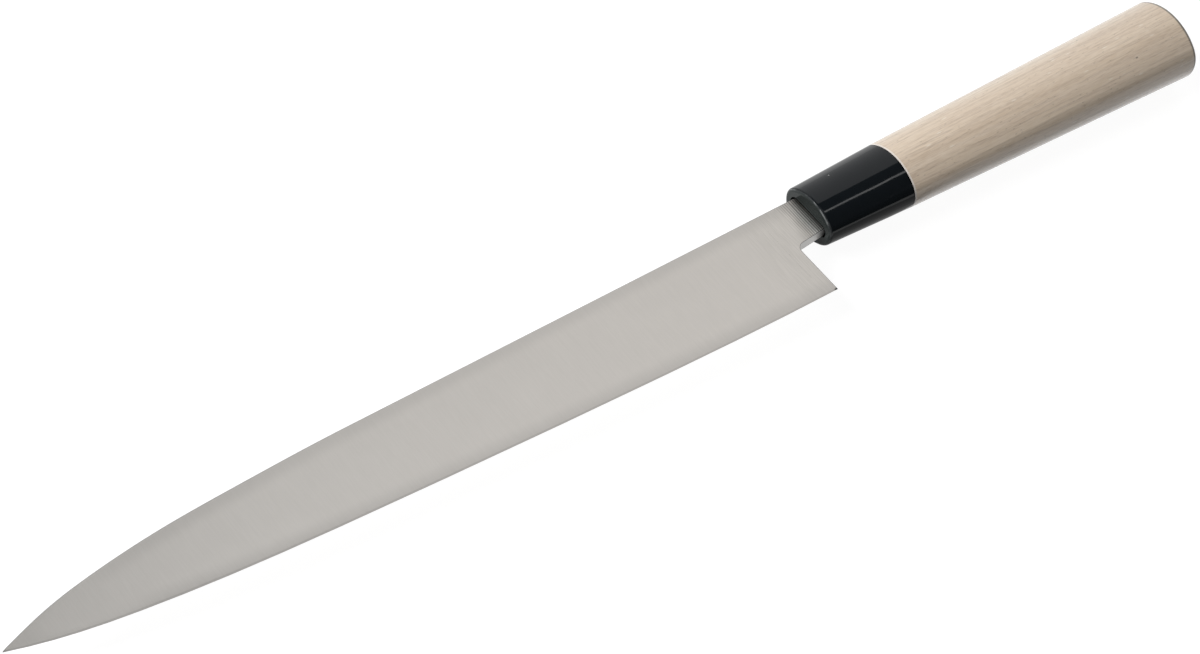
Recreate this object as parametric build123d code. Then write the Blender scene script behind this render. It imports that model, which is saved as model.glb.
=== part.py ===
from build123d import *
import os
from math import atan2, cos, degrees, radians, sin, sqrt, tan

# Yanagiba, a Japanese slicing knife for the right hand, on a D-shaped magnolia handle.
# X runs from the butt to the tip, Y towards the cutting edge, and Z out of the hollow
# back of the blade. The origin is the centre of the butt face, on the handle's axis.
# All lengths are in millimetres.

# Handle and collar
GRIP_LENGTH = 144.4
COLLAR_LENGTH = 31.7
COLLAR_FRONT_WALL = 4.0
COLLAR_WALL = 2.0
COLLAR_RIM_ROUND = 1.1
COLLAR_BACK_EASING = 0.15
TENON_CLEARANCE = 0.05
BUTT_EDGE_ROUND = 0.5

# D section at the butt: half an oval on the back side, and on the other side two long
# flanks that meet in a soft ridge. Every other section of the grip is set in from it.
BUTT_HALF_HEIGHT = 14.0
BUTT_BACK_DEPTH = 10.7
BUTT_RIDGE_DEPTH = 12.3
BACK_CORNER_RADIUS = 8.6
RIDGE_CORNER_RADIUS = 10.4
NOSE_RADIUS = 7.0
RIDGE_FALL_DEGREES = 12.0
HANDLE_SHRINK = 2.45
COLLAR_SHRINK = 1.2

# Blade
EDGE_LENGTH = 264.15
NECK_LENGTH = 10.95
HEEL_HEIGHT = 33.35
HEEL_THICKNESS = 3.4
TIP_THICKNESS = 1.3
SPINE_HEIGHT = 6.69
SPINE_DROP_DEGREES = 0.69
SPINE_EASING = 0.3
MACHI_ROUND = 2.6
NECK_DEPTH_AT_COLLAR = 7.0
NECK_DEPTH_AT_HEEL = 8.15

# Outline of the blade as shares of the edge length from heel to tip, and of the
# heel height from the straight line of the spine down towards the edge
EDGE_SHARES = [(0.0, 1.0), (0.29, 0.938), (0.588, 0.8175), (0.86, 0.633), (0.942, 0.5205)]
SPINE_SHARES = [(0.7, 0.0243), (0.79, 0.0586), (0.88, 0.1415), (0.95, 0.2596)]
SHINOGI_SHARES = [(0.0, 0.445), (0.36, 0.4), (0.7, 0.3), (0.89, 0.25)]
SPINE_BEND_SHARE = 0.565
TIP_SHARES = (1.0, 0.3921)
THIN_TIP_SHARES = (0.975, 0.318)
RUN_BACK_SHARE = 0.025

# Shallow hollow in the back of the blade, inside a flat rim
HOLLOW_DEPTH = 0.28
RIM_AT_SPINE = 2.0
RIM_AT_EDGE = 1.6
HOLLOW_SHARES = [(0.015, 0.06), (0.08, 0.8), (0.3, 1.0), (0.6, 0.9), (0.8, 0.6), (0.9, 0.32), (0.955, 0.05)]

# Tang, and the glued pocket that holds it
TANG_LENGTH = 104.0
TANG_ROOT_HEIGHT = 11.6
TANG_END_HEIGHT = 5.4
TANG_END_THICKNESS = 2.2
GLUE_THICKNESS = 0.7
SLOT_END_GAP = 1.2
SLOT_SIDE_GAP = 0.65

OVERRUN = 1.0

os.makedirs("parts", exist_ok=True)

COLLAR_BACK = GRIP_LENGTH - COLLAR_LENGTH
TENON_END = GRIP_LENGTH - COLLAR_FRONT_WALL
HEEL_X = GRIP_LENGTH + NECK_LENGTH
RUN_BACK_X = HEEL_X - RUN_BACK_SHARE * EDGE_LENGTH
TANG_END = GRIP_LENGTH - TANG_LENGTH
BACK_Z = HEEL_THICKNESS / 2
SPINE_SLOPE = tan(radians(SPINE_DROP_DEGREES))
THIN_SLOPE = (HEEL_THICKNESS - TIP_THICKNESS) / (EDGE_LENGTH * THIN_TIP_SHARES[0])


def grip_section(inset):
    """D section of the grip, set in from the butt's outline, with Y across and Z up.
    It is made of tangent arcs, which keep their centres and lose the inset."""
    a, b, d = BUTT_HALF_HEIGHT, BUTT_BACK_DEPTH, BUTT_RIDGE_DEPTH
    r, s = BACK_CORNER_RADIUS, RIDGE_CORNER_RADIUS
    fall = radians(RIDGE_FALL_DEGREES)
    back = ((a - r) ** 2 + b**2 - r**2) / (2 * (b - r))
    flank = ((a - s) ** 2 + d**2 - s**2) / (2 * (d * cos(fall) - s - (a - s) * sin(fall)))
    flank_y, flank_z = -flank * sin(fall), flank * cos(fall) - d
    nose_z = flank_z - sqrt((flank - NOSE_RADIUS) ** 2 - flank_y**2)
    back_turn = degrees(atan2(back - b, a - r))
    flank_turn = degrees(atan2(flank_z, a - s - flank_y))
    nose_turn = degrees(atan2(flank_z - nose_z, -flank_y))
    half = [
        CenterArc((a - r, 0), r - inset, 0, back_turn),
        CenterArc((a - s, 0), s - inset, -flank_turn, flank_turn),
        CenterArc((flank_y, flank_z), flank - inset, -nose_turn, nose_turn - flank_turn),
    ]
    other_half = [mirror(arc, Plane.YZ) for arc in half]
    back_arc = CenterArc((0, b - back), back - inset, back_turn, 180 - 2 * back_turn)
    nose = CenterArc((0, nose_z), NOSE_RADIUS - inset, nose_turn - 180, 180 - 2 * nose_turn)
    return make_face([*half, *other_half, back_arc, nose])


def grip_body(back_x, back_inset, front_x, front_inset):
    """Length of the grip that narrows evenly from one inset to the next."""
    length = front_x - back_x
    taper = degrees(atan2(front_inset - back_inset, length))
    section = Plane.YZ.offset(back_x) * grip_section(back_inset)
    return extrude(section, length, taper=taper)


def collar_inset(x):
    """Inset of the collar's outside at x."""
    return HANDLE_SHRINK + COLLAR_SHRINK * (x - COLLAR_BACK) / COLLAR_LENGTH


# Blade outline

def spine_y(x):
    """Straight line of the spine, which drops slightly towards the tip."""
    return -SPINE_HEIGHT + SPINE_SLOPE * (x - GRIP_LENGTH)


def blade_point(shares, z_of_x):
    """Point of the blade's outline from its shares of the length and the heel height."""
    x = HEEL_X + shares[0] * EDGE_LENGTH
    return Vector(x, spine_y(x) + shares[1] * HEEL_HEIGHT, z_of_x(x))


def back_z(x):
    """Flat back of the blade."""
    return BACK_Z


def front_z(x):
    """Flat upper part of the front, which nears the back towards the tip."""
    return BACK_Z - HEEL_THICKNESS + THIN_SLOPE * (x - HEEL_X)


def blade_outline(low_shares, tip_shares, z_of_x):
    """Face bounded by the spine, the given lower line and a cut behind the heel."""
    start = blade_point((-RUN_BACK_SHARE, 0), z_of_x)
    bend = blade_point((SPINE_BEND_SHARE, 0), z_of_x)
    tip = blade_point(tip_shares, z_of_x)
    upper = [blade_point(shares, z_of_x) for shares in SPINE_SHARES]
    lower = [blade_point(shares, z_of_x) for shares in low_shares]
    corner = blade_point((-RUN_BACK_SHARE, low_shares[0][1]), z_of_x)
    return Face(Wire([
        Line(start, bend),
        Spline(bend, *upper, tip, tangents=[bend - start, tip - upper[-1]]),
        Spline(tip, *reversed(lower), corner),
        Line(corner, start),
    ]))


def ease_spine(body):
    """Round the two long edges of the spine."""
    spine_faces = [face for face in body.faces() if face.normal_at().Y < -0.5]
    long_edges = [edge for face in spine_faces for edge in face.edges() if edge.length > HEEL_THICKNESS * 2]
    return fillet(long_edges, SPINE_EASING)


def single_bevel():
    """Blade ground on one side only: ruled between the outline of its flat back, which
    ends at the edge, and the outline of its flat front, which ends at the shinogi."""
    back = blade_outline(EDGE_SHARES, TIP_SHARES, back_z)
    front = blade_outline(SHINOGI_SHARES, THIN_TIP_SHARES, front_z)
    return ease_spine(loft([back, front], ruled=True))


def span_across(face, x):
    """Lowest and highest y of a flat face at x."""
    ruler = Line((x, -HEEL_HEIGHT, BACK_Z), (x, HEEL_HEIGHT, BACK_Z))
    ends = face.intersect(ruler).vertices().sort_by(Axis.Y)
    return ends[0].Y, ends[-1].Y


def hollow_tool():
    """Body that grinds the shallow hollow, deepest at mid blade and fading out at both
    ends, inside the flat rim along the spine and the edge."""
    back = blade_outline(EDGE_SHARES, TIP_SHARES, back_z)
    lenses = []
    for along, depth_share in HOLLOW_SHARES:
        x = HEEL_X + along * EDGE_LENGTH
        spine, edge = span_across(back, x)
        top, low = spine + RIM_AT_SPINE, edge - RIM_AT_EDGE
        deepest = BACK_Z - HOLLOW_DEPTH * depth_share
        sides = Polyline((x, low, BACK_Z), (x, low, BACK_Z + OVERRUN), (x, top, BACK_Z + OVERRUN), (x, top, BACK_Z))
        arc = ThreePointArc((x, top, BACK_Z), (x, (top + low) / 2, deepest), (x, low, BACK_Z))
        lenses.append(make_face(arc + sides))
    return loft(lenses)


def notch_tool():
    """Space under the neck and behind the heel, with the round inner corner of the machi."""
    before = HEEL_X - 2 * NECK_LENGTH
    slope = (NECK_DEPTH_AT_HEEL - NECK_DEPTH_AT_COLLAR) / NECK_LENGTH
    corner_y = NECK_DEPTH_AT_HEEL
    outline = Polyline(
        (before, corner_y - slope * (HEEL_X - before)),
        (HEEL_X, corner_y),
        (HEEL_X, HEEL_HEIGHT),
        (before, HEEL_HEIGHT),
        close=True,
    )
    face = make_face(outline)
    corner = face.vertices().sort_by_distance((HEEL_X, corner_y))[0]
    face = fillet(corner, MACHI_ROUND)
    return extrude(Plane.XY.offset(-HEEL_THICKNESS) * face, 2 * HEEL_THICKNESS)


def neck_y(x):
    """Underside of the neck, between the collar and the heel."""
    slope = (NECK_DEPTH_AT_HEEL - NECK_DEPTH_AT_COLLAR) / NECK_LENGTH
    return NECK_DEPTH_AT_HEEL - slope * (HEEL_X - x)


def bar_section(x, top, low, front, back):
    """Rectangle across the blade at x."""
    corners = [(x, top, front), (x, low, front), (x, low, back), (x, top, back)]
    return make_face(Polyline(*corners, close=True))


def make_neck():
    """Neck from behind the heel to the tenon. Its sides are parallel, and it meets the
    flats and the spine of the blade without a step."""
    front = front_z(RUN_BACK_X)
    sections = [bar_section(x, spine_y(x), neck_y(x), front, BACK_Z) for x in (TENON_END, RUN_BACK_X)]
    return ease_spine(loft(sections, ruled=True))


def make_tang():
    """Tapered tang from the shoulders at the tenon to its end inside the handle."""
    half_thick, half_thin = HEEL_THICKNESS / 2, TANG_END_THICKNESS / 2
    root, end = TANG_ROOT_HEIGHT / 2, TANG_END_HEIGHT / 2
    return loft([
        bar_section(TANG_END, -end, end, -half_thin, half_thin),
        bar_section(TENON_END, -root, root, -half_thick, half_thick),
    ], ruled=True)


def make_blade():
    """Blade, neck and tang, one piece of steel."""
    return single_bevel() - notch_tool() - hollow_tool() + make_neck() + make_tang()


def pocket():
    """Blind pocket in the wood round the tang, filled with glue."""
    root = TANG_ROOT_HEIGHT + 2 * GLUE_THICKNESS
    end = TANG_END_HEIGHT + 2 * GLUE_THICKNESS
    mouth = RectangleRounded(root, HEEL_THICKNESS + 2 * GLUE_THICKNESS, GLUE_THICKNESS)
    bottom = RectangleRounded(end, TANG_END_THICKNESS + 2 * GLUE_THICKNESS, GLUE_THICKNESS)
    return loft([Plane.YZ.offset(TANG_END - GLUE_THICKNESS) * bottom, Plane.YZ.offset(TENON_END) * mouth], ruled=True)


def make_handle():
    """Magnolia handle with a tenon for the collar and a blind pocket for the tang."""
    body = grip_body(0, 0, COLLAR_BACK, HANDLE_SHRINK)
    body = fillet(body.faces().sort_by(Axis.X)[0].edges(), BUTT_EDGE_ROUND)
    gap = COLLAR_WALL + TENON_CLEARANCE
    tenon = grip_body(COLLAR_BACK, collar_inset(COLLAR_BACK) + gap, TENON_END, collar_inset(TENON_END) + gap)
    return body + tenon - pocket()


def make_collar():
    """Black collar, a cap over the tenon with a slot for the neck in its front wall."""
    body = grip_body(COLLAR_BACK, collar_inset(COLLAR_BACK), GRIP_LENGTH, collar_inset(GRIP_LENGTH))
    body = fillet(body.faces().sort_by(Axis.X)[-1].edges(), COLLAR_RIM_ROUND)
    body = chamfer(body.faces().sort_by(Axis.X)[0].edges(), COLLAR_BACK_EASING)
    mouth = COLLAR_BACK - OVERRUN
    socket = grip_body(mouth, collar_inset(mouth) + COLLAR_WALL, TENON_END, collar_inset(TENON_END) + COLLAR_WALL)
    height = SPINE_HEIGHT + NECK_DEPTH_AT_COLLAR + 2 * SLOT_END_GAP
    middle = (NECK_DEPTH_AT_COLLAR - SPINE_HEIGHT) / 2
    slot = Pos(middle, 0) * SlotOverall(height, HEEL_THICKNESS + 2 * SLOT_SIDE_GAP)
    depth = COLLAR_FRONT_WALL + 2 * OVERRUN
    slot = extrude(Plane.YZ.offset(TENON_END - OVERRUN) * slot, depth)
    return body - socket - slot


blade = make_blade()
handle = make_handle()
pieces = {
    "blade": blade,
    "collar": make_collar(),
    "handle": handle,
    "tang_glue": pocket() - blade,
}
for name, piece in pieces.items():
    print(name, round(piece.volume), piece.is_valid, len(piece.solids()))
    export_step(piece, f"parts/{name}.step")
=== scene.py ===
import math

import bpy
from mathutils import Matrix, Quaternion, Vector


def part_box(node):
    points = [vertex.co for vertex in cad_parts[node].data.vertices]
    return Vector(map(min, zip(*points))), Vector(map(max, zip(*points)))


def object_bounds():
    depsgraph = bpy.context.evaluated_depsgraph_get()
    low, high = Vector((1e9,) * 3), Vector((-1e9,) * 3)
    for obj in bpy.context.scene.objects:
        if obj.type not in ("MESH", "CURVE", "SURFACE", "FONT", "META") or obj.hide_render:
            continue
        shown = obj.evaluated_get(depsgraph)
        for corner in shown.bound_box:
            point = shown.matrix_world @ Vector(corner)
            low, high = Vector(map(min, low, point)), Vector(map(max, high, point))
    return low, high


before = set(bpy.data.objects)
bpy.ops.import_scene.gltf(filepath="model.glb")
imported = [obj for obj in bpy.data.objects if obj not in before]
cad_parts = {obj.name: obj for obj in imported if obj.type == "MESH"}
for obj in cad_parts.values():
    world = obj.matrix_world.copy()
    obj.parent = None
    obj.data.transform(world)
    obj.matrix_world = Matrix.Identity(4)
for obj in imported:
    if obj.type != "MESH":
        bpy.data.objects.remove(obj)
cad_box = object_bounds()

MM = 0.001

# Camera, fitted to the photograph's outline of the knife, with lens and sensor in millimetres
CAMERA_PLACE = Vector((0.69468, 0.45138, 0.76508))
CAMERA_AIM = Vector((0.2219, 0.0019, 0.0))
CAMERA_ROLL = math.radians(12.1)
CAMERA_LENS = 108.1
SENSOR_WIDTH = 36.0

# Places along the knife in millimetres from the butt, from the frame and the neck's length
BUTT = 0.0
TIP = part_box("blade")[1].x / MM
COLLAR_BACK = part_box("collar")[0].x / MM
COLLAR_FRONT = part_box("collar")[1].x / MM
NECK_LENGTH = 10.95
HEEL = COLLAR_FRONT + NECK_LENGTH

# Where the spine and the cutting edge run, as shares of the way from heel to tip, and of the
# blade's height from the highest point of the spine to the heel corner
SPINE_SHARES = (
    (0.0, 0.0), (0.565, 0.057), (0.7, 0.095), (0.8, 0.148),
    (0.88, 0.228), (0.95, 0.342), (1.0, 0.49),
)
EDGE_SHARES = (
    (0.0, 1.0), (0.29, 0.965), (0.588, 0.883), (0.75, 0.81),
    (0.86, 0.717), (0.942, 0.62), (1.0, 0.49),
)

# A mark fades in from the first value of its span to the second. Spans along the knife are in
# millimetres past a place on it.

# Marks on the neck, past the collar's front: grooves, a darkening, painted light and more roughness
GROOVES_SPAN = (9.0, 2.0)
NECK_DARK_SPAN = (11.0, 6.0)
PAINTED_LIGHT_SPAN = (5.0, 2.5)
ROUGH_SPAN = (7.0, 2.0)

# Marks near the heel, past the heel: the grain, a painted reflection on the underside, painted shade
# on the hollow's start and the painted shade line along the heel
GRAIN_SPAN = (18.0, -2.0)
UNDERSIDE_SPAN = (1.0, -1.0)
HOLLOW_START_SPAN = (8.0, 7.0)
HEEL_LINE_SPAN = (1.5, 0.5)

# Painted shade inside the blade's outline, in millimetres from it, and how it ends towards the tip
RIM_SHADE_SPAN = (6.0, 0.5)
RIM_SHADE_ALONG_SHARES = (0.92, 0.80)

# How the darkening and the painted light on the neck fade across it, as shares of the blade's height
# below the spine
NECK_DARK_ACROSS_SHARES = (0.15, 0.50)
PAINTED_LIGHT_ACROSS_SHARES = (0.0, 0.25)

# Step of the coarse grinding lines on the neck in millimetres, and how far they wander
NECK_LINE_STEP = 0.75
NECK_LINE_SWAY = 4.0

# Relief and roughness of the steel
GROOVE_DEPTH = 0.03 * MM
FINE_LINE_DEPTH_SHARE = 0.02
SATIN_LOW = 0.275
SATIN_HIGH = 0.303
NECK_ROUGHER = 0.16

# Painted shade lines on the blade: their width on sharp edges, and their strength by the cutting
# edge, by the spine and on the spine's eased edges
LINE_WIDTH = 0.5 * MM
EDGE_LINE_STRENGTH = 0.18
SPINE_LINE_STRENGTH = 0.80
EASED_LINE_STRENGTH = 0.88

# Fades by the way that the surface faces, in cosines: the neck's underside turns to the
# cutting edge's side, the hollow's start turns a little to the tip, and the spine's eased
# edges are those that turn away both from up and from sideways
UNDERSIDE_COSINES = (0.5, 0.8)
HOLLOW_START_COSINES = (0.05, 0.15)
EASED_FROM_UP_COSINES = (0.975, 0.93)
EASED_FROM_SIDE_COSINES = (0.05, 0.25)

# Colours of the steel
STEEL_AT_HEEL = (0.705, 0.668, 0.625, 1)
STEEL_AT_TIP = (0.70, 0.677, 0.645, 1)
STEEL_CLOUD = (0.62, 0.59, 0.56, 1)
STEEL_GRAIN = (0.50, 0.48, 0.44, 1)
# Painted shade along the blade's outline
STEEL_RIM_SHADE = (0.40, 0.385, 0.37, 1)
STEEL_NECK_DARK = (0.40, 0.39, 0.36, 1)
# Painted light on the neck by the collar
STEEL_PAINTED_LIGHT = (0.93, 0.92, 0.88, 1)
STEEL_GROOVE = (0.10, 0.095, 0.085, 1)
# Painted reflection that lightens the neck's underside
STEEL_PAINTED_UNDERSIDE_REFLECTION = (0.90, 0.89, 0.87, 1)
# Painted shade that hides a glint on the start of the blade's hollow
STEEL_PAINTED_GLINT_SHADE = (0.12, 0.12, 0.11, 1)
# Painted shade lines on the blade's edges
STEEL_SHADE_LINE = (0.08, 0.08, 0.08, 1)

# Marks on the collar: the front face, past its front, and a painted shade line at its back, past
# its back. The painted highlight on the rim is where the surface turns from the side to the front, in
# cosines.
FACE_SPAN = (-0.4, -0.1)
FACE_ROUGHER = 0.12
BACK_SHADE_SPAN = (0.7, 0.3)
RIM_HIGHLIGHT_FROM_SIDE_COSINES = (0.50, 0.65)
RIM_HIGHLIGHT_FROM_FRONT_COSINES = (0.90, 0.75)

# Colours of the plastic
PLASTIC_DARK = (0.0060, 0.0080, 0.0098, 1)
PLASTIC_LIGHT = (0.0076, 0.0100, 0.0124, 1)
# Painted shade line at the collar's back
PLASTIC_BACK_SHADE = (0, 0, 0, 1)
PLASTIC_FACE = (0.017, 0.024, 0.023, 1)
# Painted highlight round the collar's rim
PLASTIC_RIM_HIGHLIGHT = (0.22, 0.23, 0.23, 1)
PLASTIC_DUST = (0.45, 0.45, 0.43, 1)

# Painted light and shade on the wood: a painted highlight at the joint, past the collar's back, and
# painted shade round the butt's rim, past the butt. The end grain is where the surface turns to the
# back, in cosines.
JOINT_HIGHLIGHT_SPAN = (-0.6, -0.4)
BUTT_SHADE_SPAN = (1.2, 0.6)
END_GRAIN_COSINES = (-0.85, -0.97)

# Growth rings on the butt: their step in millimetres, how far they wander, and how far away
# the pith of the tree lay
RING_STEP = 2.6
RING_SWAY = 6.0
PITH_AWAY_Y = 30.0
PITH_AWAY_Z = 22.0

# Colours of the wood
WOOD_DARK = (0.72, 0.574, 0.429, 1)
WOOD_LIGHT = (0.78, 0.634, 0.477, 1)
WOOD_STREAK = (0.60, 0.465, 0.345, 1)
WOOD_RAY = (0.50, 0.375, 0.275, 1)
WOOD_FIBRE = (0.88, 0.75, 0.61, 1)
WOOD_PORE = (0.38, 0.28, 0.20, 1)
WOOD_FLECK = (0.95, 0.87, 0.76, 1)
WOOD_SPECK = (0.16, 0.11, 0.08, 1)
# Painted highlight at the joint with the collar
WOOD_JOINT_HIGHLIGHT = (0.97, 0.92, 0.88, 1)
# Painted shade round the butt's rim
WOOD_BUTT_SHADE = (0.06, 0.05, 0.045, 1)
WOOD_RING = (0.42, 0.30, 0.20, 1)

# Colours of the resin
RESIN_DARK = (0.40, 0.28, 0.14, 1)
RESIN_LIGHT = (0.50, 0.38, 0.22, 1)

# The studio, in metres. Lights and walls face the knife's middle or an aim of their own.
KNIFE_MIDDLE = Vector((0.2, 0, 0))
BACK_PANEL_AIM = Vector((-0.975, 0.042, 0.056))
STRIP_AIM = Vector((0.13, 0, 0))
WALL_RADIANCE = 0.6
WORLD_COLOR = (0.95, 0.98, 1.0, 1)
WORLD_STRENGTH = 0.05

# The floor's sheets lie a small gap apart. The card is a painted shadow that only gloss sees: its
# long side points the way that the collar's side mirrors the camera's view.
FLOOR_Z = cad_box[0].z
SHEET_GAP = 0.1 * MM
FLOOR_SIZE = (12, 12)
CARD_CENTRE = (0.113, 0.037)
CARD_SIZE = (0.107, 0.042)
CARD_TURN = math.radians(136)

# Where Blender's Mix node has its factor, its two colours and its result
MIX_INPUTS = (0, 6, 7)
MIX_OUTPUT = 2

# The full part of a spot's radius, and how a sharp edge is found: samples, and the cosines of
# the turn at which it begins to show and is full
SPOT_CORE_SHARE = 0.4
SHARP_SAMPLES = 8
SHARP_COSINES = (0.98, 0.80)


class Nodes:
    """Builds one node tree. Most methods add nodes and give back the output with the result."""

    def __init__(self, tree):
        self.tree = tree

    def add(self, kind, **settings):
        """A new node of the given kind."""
        node = self.tree.nodes.new(kind)
        for name, value in settings.items():
            setattr(node, name, value)
        return node

    def feed(self, socket, value):
        """Links an output to the socket, or sets the socket's own value."""
        if isinstance(value, bpy.types.NodeSocket):
            self.tree.links.new(value, socket)
        elif value is not None:
            socket.default_value = value

    def math(self, operation, a, b=None, c=None):
        node = self.add("ShaderNodeMath", operation=operation)
        for socket, value in zip(node.inputs, (a, b, c)):
            self.feed(socket, value)
        return node.outputs[0]

    def times(self, a, b):
        return self.math("MULTIPLY", a, b)

    def part_of(self, mask, strength):
        """The mask at a part of its strength."""
        return self.times(mask, strength)

    def smooth(self, value, start, end, low=0.0, high=1.0, interpolation="SMOOTHSTEP"):
        """Goes from low to high while the value goes from start to end."""
        node = self.add("ShaderNodeMapRange", interpolation_type=interpolation)
        limits = {"From Min": start, "From Max": end, "To Min": low, "To Max": high}
        for name, number in limits.items():
            self.feed(node.inputs[name], number)
        self.feed(node.inputs["Value"], value)
        return node.outputs["Result"]

    def past(self, x, place, span, low=0.0, high=1.0):
        """Goes from low to high between the two distances of the span, past a place."""
        return self.smooth(x, place + span[0], place + span[1], low, high)

    def mix(self, factor, a, b):
        node = self.add("ShaderNodeMix", data_type="RGBA")
        for index, value in zip(MIX_INPUTS, (factor, a, b)):
            self.feed(node.inputs[index], value)
        return node.outputs[MIX_OUTPUT]

    def cover(self, color, layers):
        """Lays colours over the first one, in turn, each as strongly as its mask says."""
        for mask, tint in layers:
            color = self.mix(mask, color, tint)
        return color

    def place(self):
        """The point on the object, in millimetres, so that textures keep their real size."""
        where = self.add("ShaderNodeTexCoord").outputs["Object"]
        return self.stretch(where, (1 / MM, 1 / MM, 1 / MM))

    def stretch(self, vector, scale):
        node = self.add("ShaderNodeVectorMath", operation="MULTIPLY")
        self.feed(node.inputs[0], vector)
        self.feed(node.inputs[1], scale)
        return node.outputs[0]

    def drawn_out(self, where, share):
        """The point with its x scaled down, which draws a texture out along the knife."""
        return self.stretch(where, (share, 1.0, 1.0))

    def split(self, vector):
        """The x, y and z outputs of a vector."""
        node = self.add("ShaderNodeSeparateXYZ")
        self.feed(node.inputs[0], vector)
        return node.outputs

    def facing(self):
        """The x, y and z outputs of the way that the surface faces."""
        return self.split(self.add("ShaderNodeTexCoord").outputs["Normal"])

    def noise(self, vector, scale, detail=2.0, distortion=0.0):
        node = self.add("ShaderNodeTexNoise")
        self.feed(node.inputs["Vector"], vector)
        self.feed(node.inputs["Scale"], scale)
        self.feed(node.inputs["Detail"], detail)
        self.feed(node.inputs["Distortion"], distortion)
        return node.outputs["Fac"]

    def cells(self, vector, scale, radius, share):
        """1 inside small round spots, found in the given share of the cells of a grid."""
        node = self.add("ShaderNodeTexVoronoi")
        self.feed(node.inputs["Vector"], vector)
        self.feed(node.inputs["Scale"], scale)
        spot = self.smooth(node.outputs["Distance"], radius, radius * SPOT_CORE_SHARE)
        chosen = self.math("LESS_THAN", self.split(node.outputs["Color"])[0], share)
        return self.times(spot, chosen)

    def ripple(self, distance, step, wander, sway):
        """A wave along a distance with the given step, pushed about by a noise."""
        turns = self.times(distance, 2 * math.pi / step)
        return self.math("SINE", self.math("MULTIPLY_ADD", wander, sway, turns))

    def curve(self, value, points):
        """A smooth curve through the given points, each between 0 and 1."""
        node = self.add("ShaderNodeFloatCurve")
        line = node.mapping.curves[0]
        line.points[0].location = points[0]
        line.points[1].location = points[-1]
        for place in points[1:-1]:
            line.points.new(*place)
        node.mapping.update()
        self.feed(node.inputs["Value"], value)
        return node.outputs["Value"]

    def sharp_edges(self, width):
        """1 along the object's sharp edges, fading out at the given distance from them."""
        rounded = self.add("ShaderNodeBevel", samples=SHARP_SAMPLES)
        self.feed(rounded.inputs["Radius"], width)
        plain = self.add("ShaderNodeNewGeometry").outputs["Normal"]
        node = self.add("ShaderNodeVectorMath", operation="DOT_PRODUCT")
        self.feed(node.inputs[0], rounded.outputs["Normal"])
        self.feed(node.inputs[1], plain)
        return self.smooth(node.outputs["Value"], *SHARP_COSINES)

    def bump(self, height, strength, distance):
        node = self.add("ShaderNodeBump")
        self.feed(node.inputs["Strength"], strength)
        self.feed(node.inputs["Distance"], distance)
        self.feed(node.inputs["Height"], height)
        return node.outputs["Normal"]


def new_material(name):
    """A new material, the builder of its nodes and its shader's inputs."""
    material = bpy.data.materials.new(name)
    material.use_nodes = True
    nodes = Nodes(material.node_tree)
    shader = material.node_tree.nodes["Principled BSDF"]
    return material, nodes, shader.inputs


def blade_places(n, x, y):
    """A point's share of the way from heel to tip, its distances to the spine and to the
    cutting edge as shares of the blade's height, and the nearer of the two in millimetres."""
    low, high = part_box("blade")
    along = n.smooth(x, HEEL, TIP, interpolation="LINEAR")
    across = n.smooth(y, low.y / MM, high.y / MM, interpolation="LINEAR")
    to_spine = n.math("SUBTRACT", across, n.curve(along, SPINE_SHARES))
    to_edge = n.math("SUBTRACT", n.curve(along, EDGE_SHARES), across)
    margin = n.times(n.math("MINIMUM", to_spine, to_edge), (high.y - low.y) / MM)
    return along, to_spine, to_edge, margin


def neck_grooves(n, where, x, fine):
    """Coarse grinding lines across the neck, which fade out towards the heel."""
    wander = n.noise(n.stretch(where, (0.6, 0.05, 0.2)), scale=1.0, detail=1.0)
    wave = n.ripple(x, NECK_LINE_STEP, wander, NECK_LINE_SWAY)
    lines = n.times(n.smooth(wave, -0.3, 0.8), n.smooth(fine, 0.2, 0.5))
    return n.times(lines, n.past(x, COLLAR_FRONT, GROOVES_SPAN))


def neck_layers(n, x, to_spine, facing, grooves):
    """Colours on and by the neck: darker away from the spine, painted light by the collar, dark
    grooves, a painted reflection on the underside, and painted shade on the start of the blade's
    hollow."""
    neck_dark_strength = n.smooth(to_spine, *NECK_DARK_ACROSS_SHARES, high=0.30)
    painted_light_strength = n.smooth(to_spine, *PAINTED_LIGHT_ACROSS_SHARES)
    faces_edge_side = n.smooth(facing[1], *UNDERSIDE_COSINES)
    faces_tip = n.smooth(facing[0], *HOLLOW_START_COSINES)
    return (
        (n.times(n.past(x, COLLAR_FRONT, NECK_DARK_SPAN), neck_dark_strength), STEEL_NECK_DARK),
        # Painted light on the neck by the collar, towards the spine
        (n.times(n.past(x, COLLAR_FRONT, PAINTED_LIGHT_SPAN), painted_light_strength), STEEL_PAINTED_LIGHT),
        (n.part_of(grooves, strength=0.65), STEEL_GROOVE),
        # Painted reflection on the neck's underside, where it faces the cutting edge's side
        (n.times(faces_edge_side, n.past(x, HEEL, UNDERSIDE_SPAN)), STEEL_PAINTED_UNDERSIDE_REFLECTION),
        # Painted shade that hides a glint on the start of the blade's hollow
        (n.times(faces_tip, n.past(x, HEEL, HOLLOW_START_SPAN)), STEEL_PAINTED_GLINT_SHADE),
    )


def edge_shade_lines(n, x, to_spine, to_edge, facing):
    """A thin painted shade line on the blade's sharp edges, and one on the eased edges of the spine.
    """
    off_middle = n.math("SUBTRACT", to_spine, to_edge)
    strength = n.smooth(off_middle, 0.05, -0.05, EDGE_LINE_STRENGTH, SPINE_LINE_STRENGTH)
    strength = n.math("MAXIMUM", strength, n.past(x, HEEL, HEEL_LINE_SPAN))
    # Painted shade lines along sharp edges and the spine's eased edges
    sharp = n.times(n.sharp_edges(LINE_WIDTH), strength)
    up = n.math("ABSOLUTE", facing[2])
    off_side = n.smooth(up, *EASED_FROM_SIDE_COSINES, high=EASED_LINE_STRENGTH)
    eased = n.times(n.smooth(up, *EASED_FROM_UP_COSINES), off_side)
    return ((sharp, STEEL_SHADE_LINE), (eased, STEEL_SHADE_LINE))


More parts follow.
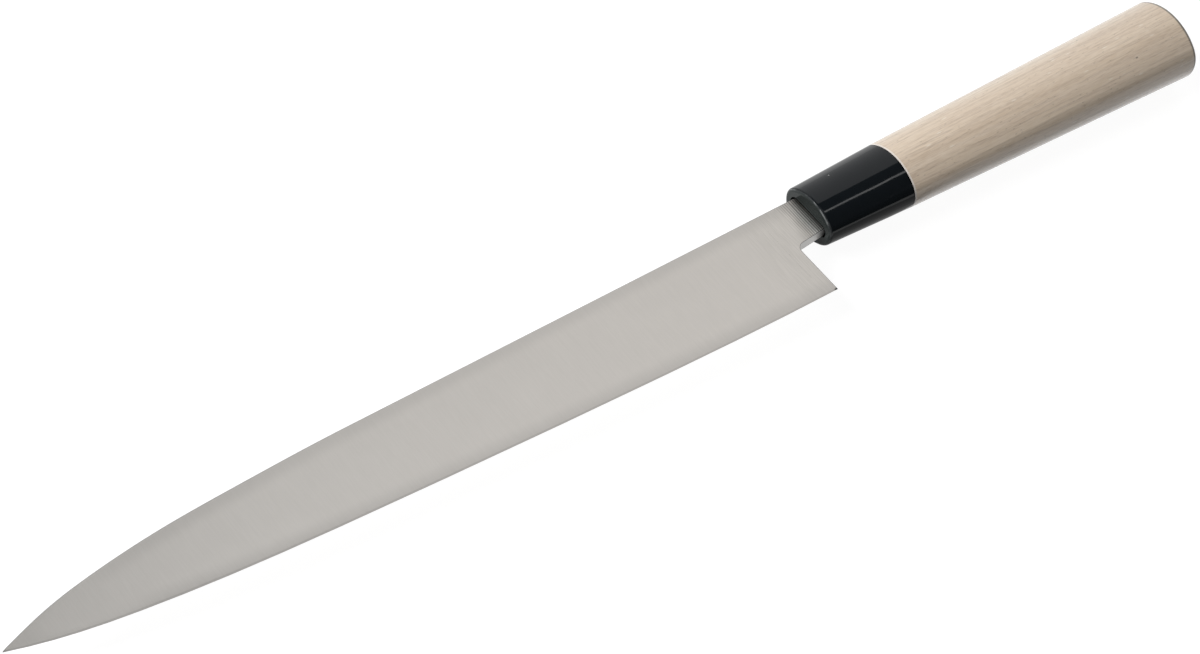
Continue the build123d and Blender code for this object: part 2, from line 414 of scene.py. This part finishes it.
def ground_steel():
    """Satin stainless steel: fine grinding lines across the blade, coarser and darker at the neck."""
    material, n, shader = new_material("ground_steel")
    where = n.place()
    x, y = n.split(where)[:2]
    facing = n.facing()
    along, to_spine, to_edge, margin = blade_places(n, x, y)
    fine = n.noise(n.stretch(where, (3.0, 0.10, 1.0)), scale=1.6, detail=3.0)
    cloud = n.noise(n.drawn_out(where, 0.5), scale=0.09)
    grooves = neck_grooves(n, where, x, fine)
    grain_strength = n.past(x, HEEL, GRAIN_SPAN, low=0.10, high=0.42)
    rim_shade_strength = n.smooth(along, *RIM_SHADE_ALONG_SHARES, high=0.30)
    layers = (
        (n.smooth(cloud, 0.35, 0.65, high=0.10), STEEL_CLOUD),
        (n.times(n.smooth(fine, 0.3, 0.7), grain_strength), STEEL_GRAIN),
        # Painted shade along the blade's outline
        (n.times(n.smooth(margin, *RIM_SHADE_SPAN), rim_shade_strength), STEEL_RIM_SHADE),
        *neck_layers(n, x, to_spine, facing, grooves),
        *edge_shade_lines(n, x, to_spine, to_edge, facing),
    )
    ground = n.mix(along, STEEL_AT_HEEL, STEEL_AT_TIP)
    n.feed(shader["Base Color"], n.cover(ground, layers))
    n.feed(shader["Metallic"], 1.0)
    satin = n.smooth(fine, 0.3, 0.7, SATIN_LOW, SATIN_HIGH)
    rougher = n.past(x, COLLAR_FRONT, ROUGH_SPAN, high=NECK_ROUGHER)
    n.feed(shader["Roughness"], n.math("ADD", satin, rougher))
    height = n.math("MULTIPLY_ADD", grooves, -1.0, n.times(fine, FINE_LINE_DEPTH_SHARE))
    n.feed(shader["Normal"], n.bump(height, strength=0.4, distance=GROOVE_DEPTH))
    return material


def glossy_plastic():
    """Black moulded plastic: a glossy skin, duller on the front face, a painted shade line at its
    back, a painted highlight in patches round its rim, with a few specks of dust."""
    material, n, shader = new_material("glossy_plastic")
    where = n.place()
    x = n.split(where)[0]
    facing_front = n.facing()[0]
    face = n.past(x, COLLAR_FRONT, FACE_SPAN)
    off_side = n.smooth(facing_front, *RIM_HIGHLIGHT_FROM_SIDE_COSINES)
    rim = n.times(off_side, n.smooth(facing_front, *RIM_HIGHLIGHT_FROM_FRONT_COSINES))
    patches = n.smooth(n.noise(where, scale=0.25, detail=1.0), 0.42, 0.62, low=0.15)
    layers = (
        # Painted shade line at the collar's back
        (n.past(x, COLLAR_BACK, BACK_SHADE_SPAN), PLASTIC_BACK_SHADE),
        (n.part_of(face, strength=0.8), PLASTIC_FACE),
        # Painted highlight in patches round the collar's rim
        (n.part_of(n.times(rim, patches), strength=0.8), PLASTIC_RIM_HIGHLIGHT),
        (n.cells(where, scale=0.25, radius=0.065, share=0.35), PLASTIC_DUST),
    )
    skin = n.mix(n.noise(where, scale=0.35), PLASTIC_DARK, PLASTIC_LIGHT)
    n.feed(shader["Base Color"], n.cover(skin, layers))
    n.feed(shader["IOR"], 1.36)
    gloss = n.smooth(n.noise(where, scale=0.9, detail=3.0), 0.3, 0.7, low=0.05, high=0.09)
    n.feed(shader["Roughness"], n.math("MULTIPLY_ADD", face, FACE_ROUGHER, gloss))
    waves = n.noise(where, scale=0.12, detail=1.0)
    n.feed(shader["Normal"], n.bump(waves, strength=0.2, distance=0.3 * MM))
    return material


def growth_rings(n, y, z, bands):
    """Rings about the pith of the tree, which lies outside the handle."""
    away_y = n.math("POWER", n.math("ADD", y, PITH_AWAY_Y), 2.0)
    away_z = n.math("POWER", n.math("ADD", z, PITH_AWAY_Z), 2.0)
    reach = n.math("SQRT", n.math("ADD", away_y, away_z))
    return n.ripple(reach, RING_STEP, bands, RING_SWAY)


def magnolia_wood():
    """Sanded pale magnolia: soft streaks along the grip, fine pores, flecks and a few dark specks,
    with a painted highlight at the joint and painted shade round the butt's rim.
    """
    material, n, shader = new_material("magnolia_wood")
    where = n.place()
    x, y, z = n.split(where)
    bands = n.noise(n.drawn_out(where, 0.02), scale=0.28, distortion=0.6)
    streaks = n.noise(n.drawn_out(where, 0.013), scale=1.3, detail=3.0, distortion=0.2)
    rays = n.noise(n.drawn_out(where, 0.03), scale=2.4, distortion=0.4)
    fibres = n.noise(n.drawn_out(where, 0.08), scale=4.0)
    pores = n.cells(n.drawn_out(where, 0.22), scale=1.7, radius=0.22, share=0.35)
    flecks = n.cells(n.drawn_out(where, 0.20), scale=0.90, radius=0.25, share=0.18)
    specks = n.cells(n.drawn_out(where, 0.50), scale=0.20, radius=0.07, share=0.50)
    end_grain = n.smooth(n.facing()[0], *END_GRAIN_COSINES)
    # Painted shade round the butt's rim, left off the end grain
    rim = n.math("SUBTRACT", n.past(x, BUTT, BUTT_SHADE_SPAN), end_grain)
    ring_strength = n.smooth(growth_rings(n, y, z, bands), -0.2, 0.9, low=0.25, high=0.55)
    layers = (
        (n.smooth(streaks, 0.44, 0.62, high=0.68), WOOD_STREAK),
        (n.smooth(rays, 0.58, 0.68, high=0.60), WOOD_RAY),
        (n.smooth(fibres, 0.35, 0.65, high=0.42), WOOD_FIBRE),
        (n.part_of(pores, strength=0.65), WOOD_PORE),
        (n.part_of(flecks, strength=0.55), WOOD_FLECK),
        (n.part_of(specks, strength=0.85), WOOD_SPECK),
        # Painted highlight at the joint with the collar
        (n.part_of(n.past(x, COLLAR_BACK, JOINT_HIGHLIGHT_SPAN), strength=0.70), WOOD_JOINT_HIGHLIGHT),
        # Painted shade round the butt's rim
        (n.part_of(rim, strength=0.85), WOOD_BUTT_SHADE),
        (n.times(end_grain, ring_strength), WOOD_RING),
    )
    sanded = n.mix(n.smooth(bands, 0.35, 0.65), WOOD_DARK, WOOD_LIGHT)
    n.feed(shader["Base Color"], n.cover(sanded, layers))
    n.feed(shader["Roughness"], n.smooth(streaks, 0.3, 0.7, low=0.42, high=0.52))
    n.feed(shader["Coat Weight"], 1.0)
    n.feed(shader["Coat Roughness"], 0.22)
    height = n.math("MULTIPLY_ADD", pores, -1.0, n.math("MULTIPLY_ADD", fibres, 0.35, streaks))
    n.feed(shader["Normal"], n.bump(height, strength=0.25, distance=0.12 * MM))
    return material


def amber_resin():
    """The resin that beds the tang: brown amber, with a slightly uneven gloss."""
    material, n, shader = new_material("amber_resin")
    patches = n.noise(n.place(), scale=0.6, detail=3.0)
    n.feed(shader["Base Color"], n.mix(patches, RESIN_DARK, RESIN_LIGHT))
    n.feed(shader["Roughness"], n.smooth(patches, 0.3, 0.7, low=0.30, high=0.55))
    n.feed(shader["Normal"], n.bump(patches, strength=0.3, distance=0.3 * MM))
    return material


def floor_material(name, shade, glow):
    """A plain grey without gloss, from black at 0 to white at 1, that glows white by itself."""
    material, n, shader = new_material(name)
    n.feed(shader["Base Color"], (shade, shade, shade, 1))
    n.feed(shader["Roughness"], 0.9)
    n.feed(shader["Specular IOR Level"], 0.0)
    n.feed(shader["Emission Color"], (1, 1, 1, 1))
    n.feed(shader["Emission Strength"], glow)
    return material


def make_camera():
    """The camera, where the photograph was taken from."""
    data = bpy.data.cameras.new("camera")
    data.sensor_width = SENSOR_WIDTH
    data.lens = CAMERA_LENS
    camera = bpy.data.objects.new("camera", data)
    bpy.context.scene.collection.objects.link(camera)
    camera.rotation_mode = "QUATERNION"
    camera.location = CAMERA_PLACE
    look = (CAMERA_AIM - CAMERA_PLACE).to_track_quat("-Z", "Y")
    camera.rotation_quaternion = look @ Quaternion((0, 0, 1), CAMERA_ROLL)
    bpy.context.scene.camera = camera


def soft_box(name, direction, distance, size, radiance, aim=KNIFE_MIDDLE, lights=True, shines=True):
    """A rectangular studio light that faces its aim, as bright as its radiance says. One that
    doesn't light is only a bright wall for gloss to reflect, and one that doesn't shine is
    reflected by no gloss."""
    data = bpy.data.lights.new(name, "AREA")
    data.shape = "RECTANGLE"
    data.size, data.size_y = size
    data.energy = radiance * math.pi * size[0] * size[1]
    light = bpy.data.objects.new(name, data)
    direction = Vector(direction).normalized()
    light.location = aim + direction * distance
    light.rotation_mode = "QUATERNION"
    light.rotation_quaternion = (-direction).to_track_quat("-Z", "Y")
    light.visible_camera = False
    light.visible_diffuse = lights
    light.visible_glossy = shines
    bpy.context.scene.collection.objects.link(light)


def make_lights():
    """A panel that the blade mirrors, a box over the wood, a strip for the collar's highlight,
    and walls all round that only gloss reflects."""
    soft_box(
        "back_panel", direction=(0, -0.804, 0.595), distance=1.5, size=(1.85, 2.36),
        radiance=0.79, aim=BACK_PANEL_AIM,
    )
    soft_box(
        "top_box", direction=(0.75, -0.335, 0.92), distance=1.3, size=(0.90, 0.30),
        radiance=21.0, shines=False,
    )
    soft_box(
        "strip", direction=(-0.475, 0.203, 0.856), distance=1.5, size=(0.08, 0.6),
        radiance=3.2, aim=STRIP_AIM,
    )
    # Name, direction, distance and size of each wall
    walls = (
        ("left_wall", (-0.937, 0.165, 0.309), 1.4, (1.96, 1.25)),
        ("right_wall", (1, -0.09, 0.5), 1.6, (2.1, 1.9)),
        ("rear_wall", (0.383, -1, 0.47), 1.6, (1.92, 1.9)),
        ("front_wall", (0.364, 1, 0.47), 1.6, (1.85, 1.9)),
        ("overhead", (0.25, 0.4, 1), 1.3, (0.8, 1.3)),
    )
    for name, direction, distance, size in walls:
        soft_box(name, direction, distance, size, WALL_RADIANCE, lights=False)


def make_sheet(name, centre, level, size, material, rays, turn=0.0):
    """A flat sheet at a level above the floor, which only the named kinds of rays meet."""
    bpy.ops.mesh.primitive_plane_add(size=1, location=(*centre, FLOOR_Z + level))
    sheet = bpy.context.object
    sheet.scale = (*size, 1)
    sheet.rotation_euler.z = turn
    sheet.name = name
    sheet.data.materials.append(material)
    for kind in ("camera", "diffuse", "glossy", "shadow"):
        setattr(sheet, "visible_" + kind, kind in rays)


def make_floor():
    """The floor that shows and is reflected is nearly shadowless, and the table just below it
    lights the knife. The grey card is a painted shadow of the floor: it shows only as a shade on the
    collar and the neck."""
    floor_white = floor_material("floor_white", shade=0.15, glow=0.95)
    table_white = floor_material("table_white", shade=0.26, glow=0.0)
    card_painted_shadow = floor_material("card_painted_shadow", shade=0.0, glow=0.45)
    middle = KNIFE_MIDDLE.xy
    make_sheet("floor", middle, 0.0, FLOOR_SIZE, floor_white, ("camera", "glossy"))
    make_sheet("table", middle, -SHEET_GAP, FLOOR_SIZE, table_white, ("diffuse", "shadow"))
    # A painted shadow: the card stands in for the floor's shade near the knife
    make_sheet("card", CARD_CENTRE, SHEET_GAP, CARD_SIZE, card_painted_shadow, ("glossy",), CARD_TURN)


def make_world():
    """A faint and slightly cool light from all round, and colours shown as they are."""
    scene = bpy.context.scene
    scene.view_settings.view_transform = "Standard"
    world = bpy.data.worlds.new("studio")
    world.use_nodes = True
    background = world.node_tree.nodes["Background"]
    background.inputs["Color"].default_value = WORLD_COLOR
    background.inputs["Strength"].default_value = WORLD_STRENGTH
    scene.world = world


make_camera()
make_world()
make_lights()
make_floor()

looks = {
    "blade": ground_steel(),
    "collar": glossy_plastic(),
    "handle": magnolia_wood(),
    "tang_glue": amber_resin(),
}
for name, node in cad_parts.items():
    node.data.materials.clear()
    node.data.materials.append(looks[name])
